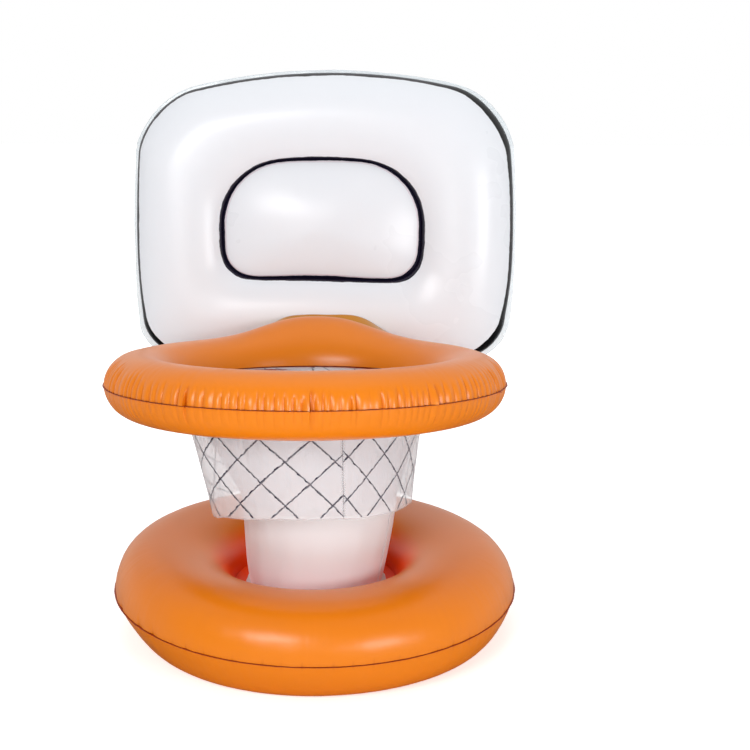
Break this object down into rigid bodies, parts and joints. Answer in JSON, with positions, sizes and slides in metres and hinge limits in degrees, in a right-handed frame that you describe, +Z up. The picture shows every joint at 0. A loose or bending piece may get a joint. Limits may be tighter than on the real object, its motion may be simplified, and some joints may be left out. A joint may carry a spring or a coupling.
{
  "type": "floating basketball hoop",
  "caption": "Inflatable pool basketball hoop: ring base, column, ring rim with a printed net skirt and a rounded backboard.",
  "frame": {"origin": "middle of the bounding box at floor level", "axes": "+Z up, -Y towards the player, +X to the player's right"},
  "size_m": [0.6558, 0.7602, 0.8272],
  "materials": {
    "orange_vinyl": "satin",
    "orange_weld": "satin",
    "column_vinyl": "satin",
    "white_vinyl": "gloss",
    "clear_vinyl": "gloss",
    "frosted_vinyl": "satin",
    "valve_vinyl": "gloss"
  },
  "bodies": {
    "toy": {"base_upper_skin": "orange_vinyl", "base_lower_skin": "orange_vinyl", "base_floor_sheet": "orange_vinyl", "rim_upper_skin": "orange_vinyl", "rim_lower_skin": "orange_vinyl", "board_rest_tab": "orange_vinyl", "base_outer_seam": "orange_weld", "base_inner_seam": "orange_weld", "rim_outer_seam": "orange_weld", "rim_inner_seam": "orange_weld", "column_body": "column_vinyl", "column_foot_flange": "column_vinyl", "column_side_seam": "column_vinyl", "column_top_disc": "column_vinyl", "board_hinge_web": "clear_vinyl", "net_skirt": "frosted_vinyl", "net_lap_seam": "frosted_vinyl", "funnel_sheet": "frosted_vinyl", "base_valve_flange": "valve_vinyl", "column_valve_flange": "valve_vinyl", "rim_valve_flange": "valve_vinyl"},
    "board": {"board_front_skin": "white_vinyl", "board_rear_skin": "white_vinyl", "board_seam_flange": "clear_vinyl", "board_valve_flange": "valve_vinyl"},
    "base_stem": {"base_valve_stem": "valve_vinyl"},
    "base_plug": {"base_valve_plug": "valve_vinyl"},
    "column_stem": {"column_valve_stem": "valve_vinyl"},
    "column_plug": {"column_valve_plug": "valve_vinyl"},
    "rim_stem": {"rim_valve_stem": "valve_vinyl"},
    "rim_plug": {"rim_valve_plug": "valve_vinyl"},
    "board_stem": {"board_valve_stem": "valve_vinyl"},
    "board_plug": {"board_valve_plug": "valve_vinyl"}
  },
  "joints": [
    {"name": "board_flex", "type": "hinge", "parent": "toy", "child": "board", "pos_m": [0, 0.27621, 0.33996], "axis": [-1, 0, 0], "range_deg": [0, 12], "stiffness_Nm_per_rad": 1.5, "springref_deg": -11.46},
    {"name": "base_stem_pull", "type": "slide", "parent": "toy", "child": "base_stem", "axis": [0, 0.8192, 0.5736], "range_m": [0, 0.012]},
    {"name": "base_plug_swing", "type": "hinge", "parent": "base_stem", "child": "base_plug", "pos_m": [-0.0088, 0.22956, 0.1124], "axis": [0, -0.5736, 0.8192], "range_deg": [0, 150]},
    {"name": "column_stem_pull", "type": "slide", "parent": "toy", "child": "column_stem", "axis": [0, 1, 0], "range_m": [0, 0.012]},
    {"name": "column_plug_swing", "type": "hinge", "parent": "column_stem", "child": "column_plug", "pos_m": [-0.0088, 0.04226, 0.1214], "axis": [0, 0, 1], "range_deg": [0, 150]},
    {"name": "rim_stem_pull", "type": "slide", "parent": "toy", "child": "rim_stem", "axis": [0.3236, 0.4027, -0.8562], "range_m": [0, 0.012]},
    {"name": "rim_plug_swing", "type": "hinge", "parent": "rim_stem", "child": "rim_plug", "pos_m": [0.1435, 0.17059, 0.32316], "axis": [0.4196, 0.75, 0.5114], "range_deg": [0, 150]},
    {"name": "board_stem_pull", "type": "slide", "parent": "board", "child": "board_stem", "axis": [0, 0.9903, -0.1392], "range_m": [0, 0.012]},
    {"name": "board_plug_swing", "type": "hinge", "parent": "board_stem", "child": "board_plug", "pos_m": [0.0088, 0.33256, 0.40611], "axis": [0, -0.1392, -0.9903], "range_deg": [0, 150]}
  ]
}
